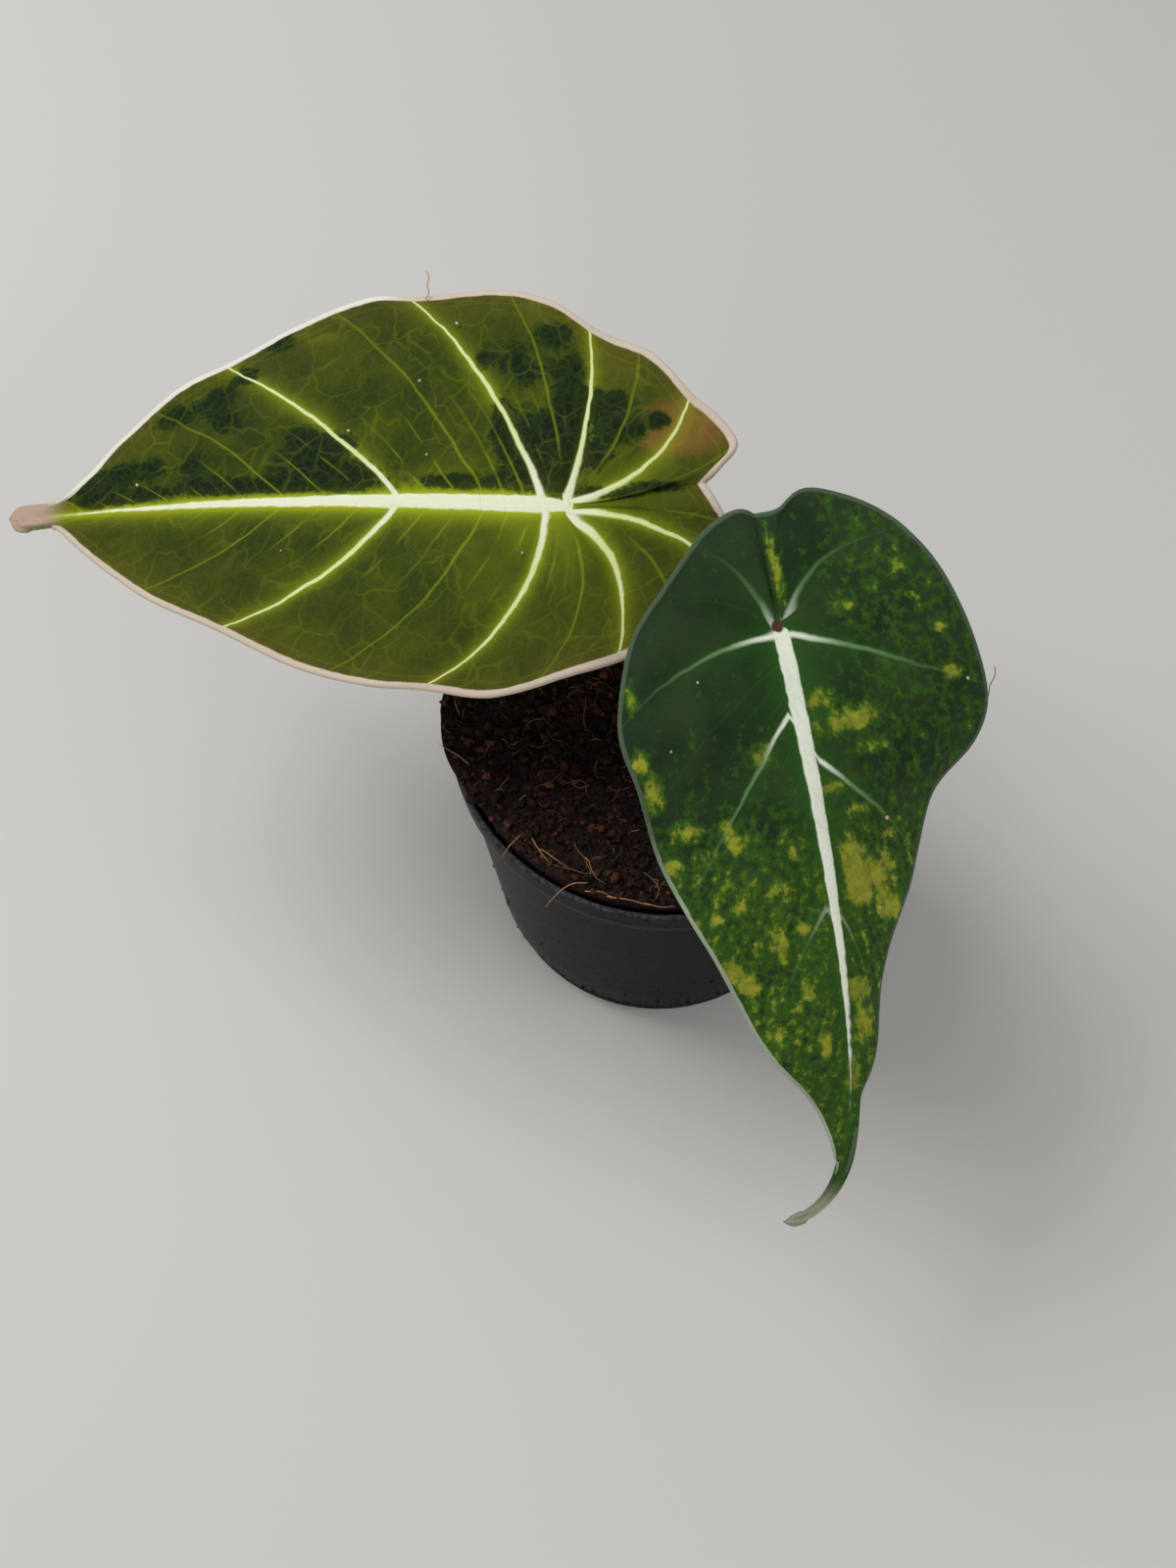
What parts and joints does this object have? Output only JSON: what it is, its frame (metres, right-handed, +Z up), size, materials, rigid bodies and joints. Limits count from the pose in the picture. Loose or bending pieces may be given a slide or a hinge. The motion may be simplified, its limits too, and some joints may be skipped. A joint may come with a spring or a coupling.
{
  "type": "potted alocasia with two variegated leaves",
  "caption": "Small round nursery pot of coir with a short-stemmed aroid whose two broad variegated leaves spread to one side and droop over the front.",
  "frame": {"origin": "middle of the flat face under the pot, on the surface that the pot stands on", "axes": "+Z up along the pot's axis, -Y towards the leaf that droops over the front, -X towards the tip of the other leaf"},
  "size_m": [0.1617, 0.1444, 0.1289],
  "materials": {
    "pot_plastic": "gloss",
    "coir": "matte",
    "crown_bark": "matte",
    "petiole_skin": "satin",
    "pale_leaf": "satin",
    "dark_leaf": "matte"
  },
  "bodies": {
    "root": {"pot": "pot_plastic", "soil": "coir", "crown": "crown_bark", "left_petiole": "petiole_skin", "right_petiole": "petiole_skin", "left_blade": "pale_leaf", "right_blade": "dark_leaf"}
  },
  "joints": []
}
